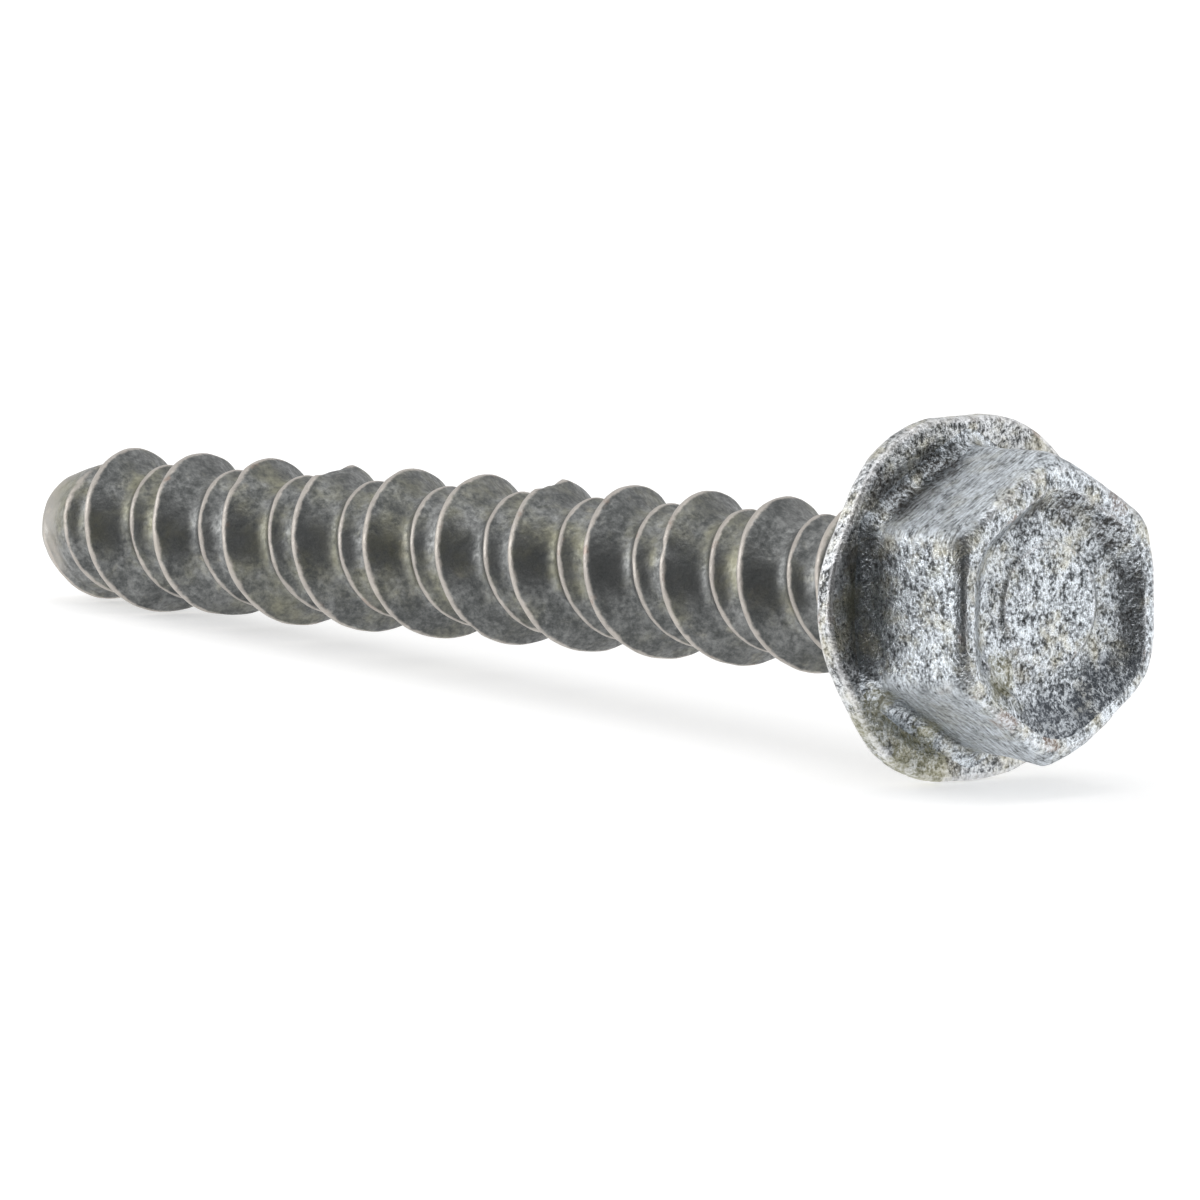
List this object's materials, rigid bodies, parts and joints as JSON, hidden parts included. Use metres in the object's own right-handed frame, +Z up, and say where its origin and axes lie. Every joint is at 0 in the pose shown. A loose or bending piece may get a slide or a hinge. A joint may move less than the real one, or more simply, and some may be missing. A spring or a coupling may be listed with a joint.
{
  "type": "lag screw",
  "caption": "Hex washer head anchor-type lag screw with a rounded flange, an indented head top, a coarse twin high-low thread along the whole shank and a blunt tip",
  "frame": {"origin": "centre of the bounding box in plan, at the level of the floor the screw lies on", "axes": "+X runs from the blunt tip to the head, +Z is up; the screw lies on the edge of its flange and a thread crest near the tip, so its axis is tilted about 4 degrees with the head end up"},
  "size_m": [0.0826, 0.02, 0.0193],
  "materials": {
    "galvanised_steel": "dull grey zinc coating with a fine grain, darker and slightly olive on the thread"
  },
  "bodies": {
    "root": {"lag_screw": "galvanised_steel"}
  },
  "joints": []
}
